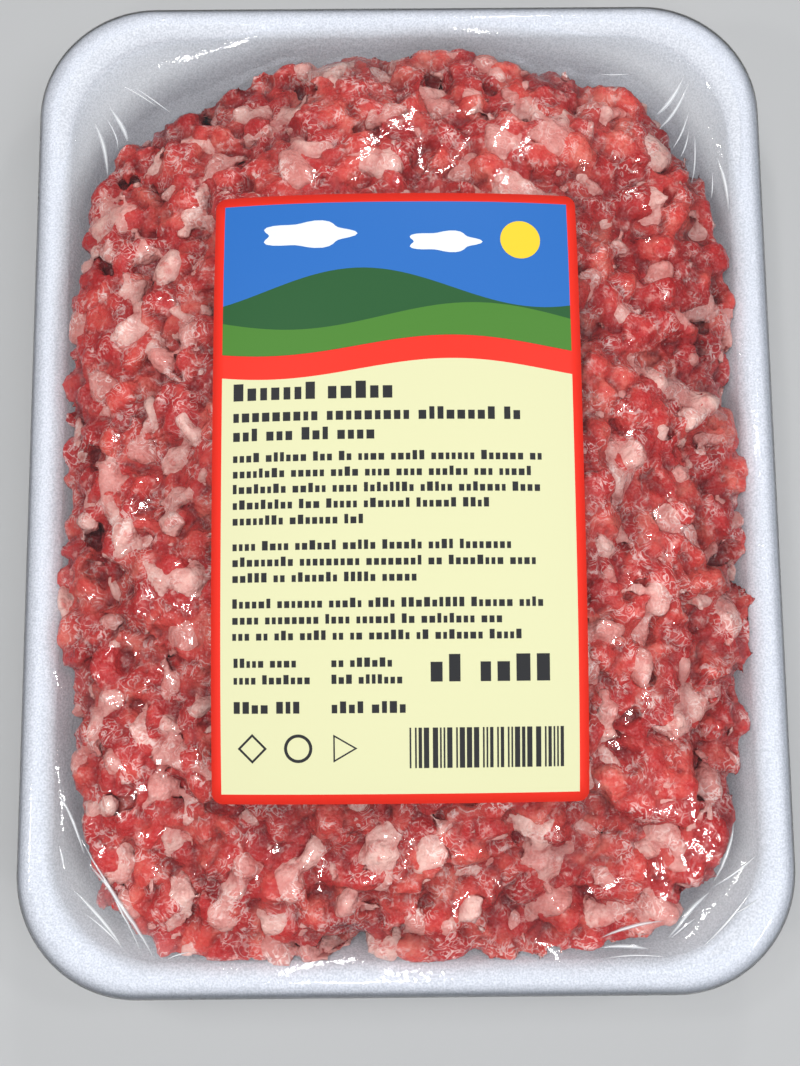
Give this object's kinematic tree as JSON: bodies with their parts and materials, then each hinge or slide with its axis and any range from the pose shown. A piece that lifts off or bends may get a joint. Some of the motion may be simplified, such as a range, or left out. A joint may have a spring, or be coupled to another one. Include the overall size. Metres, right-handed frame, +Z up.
{
  "type": "minced meat tray pack",
  "caption": "Foam tray heaped with coarse minced pork, wrapped in clear stretch film folded under the tray, with a printed paper label on top.",
  "frame": {"origin": "centre of the pack's footprint, on the surface it rests on", "axes": "+Z up, +Y along the tray's long side towards the label's top edge, +X across the tray to the right of a person who reads the label"},
  "size_m": [0.1344, 0.1794, 0.0449],
  "materials": {
    "foam": "white expanded foam with a fine bead texture",
    "mince": "wet raw lean meat with pale pink fat",
    "film": "clear and glossy, wrinkled at the corners",
    "label": "coated cream paper with a red border and printed fields"
  },
  "bodies": {
    "root": {"foam_tray": "foam", "minced_meat": "mince", "stretch_film": "film", "paper_label": "label"}
  },
  "joints": []
}
